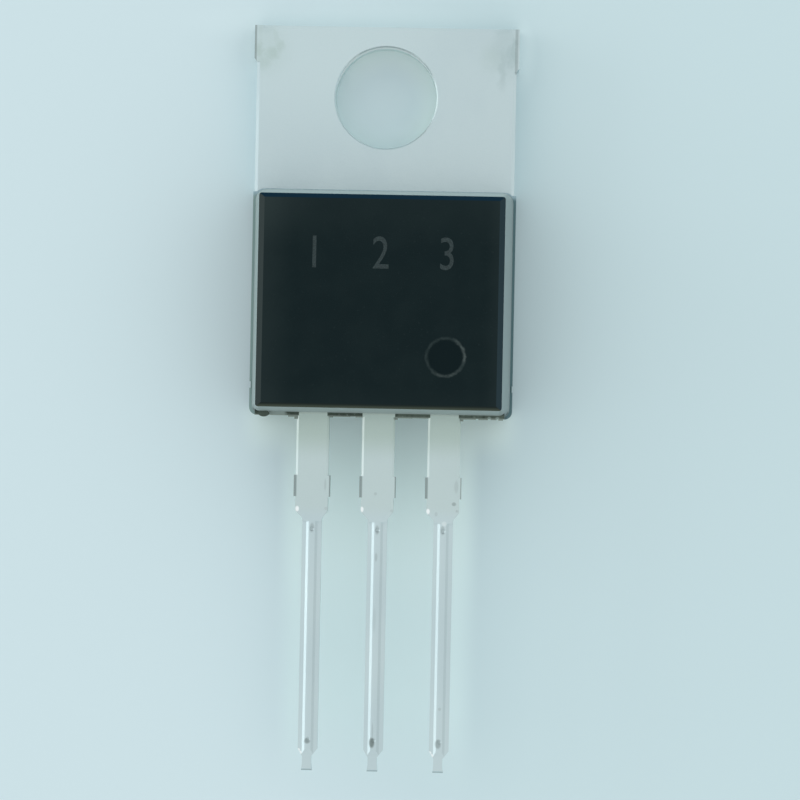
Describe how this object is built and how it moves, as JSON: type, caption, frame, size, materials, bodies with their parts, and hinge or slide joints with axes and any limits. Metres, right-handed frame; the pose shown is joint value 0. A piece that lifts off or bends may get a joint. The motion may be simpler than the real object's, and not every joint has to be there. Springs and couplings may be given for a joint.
{
  "type": "power transistor",
  "caption": "Power transistor with a metal mounting tab, a black moulded body and a row of formed leads, for screwing to a heat sink.",
  "frame": {"origin": "axis of the mounting hole at the back of the tab", "axes": "+Z out of the front of the body along the hole's axis, +Y towards the free end of the tab, the leads point along -Y, +X to the right seen from the front"},
  "size_m": [0.0104, 0.029, 0.0044],
  "materials": {
    "moulding": "fine matt, filled epoxy",
    "tinned_copper": "matt tin plating on copper",
    "solder": "dull",
    "silicon": "polished",
    "bond_wire": "bright drawn wire"
  },
  "bodies": {
    "root": {"mould_body": "moulding", "collector_frame": "tinned_copper", "base_lead": "tinned_copper", "emitter_lead": "tinned_copper", "die_solder": "solder", "silicon_die": "silicon", "base_wire": "bond_wire", "emitter_wire": "bond_wire"}
  },
  "joints": []
}
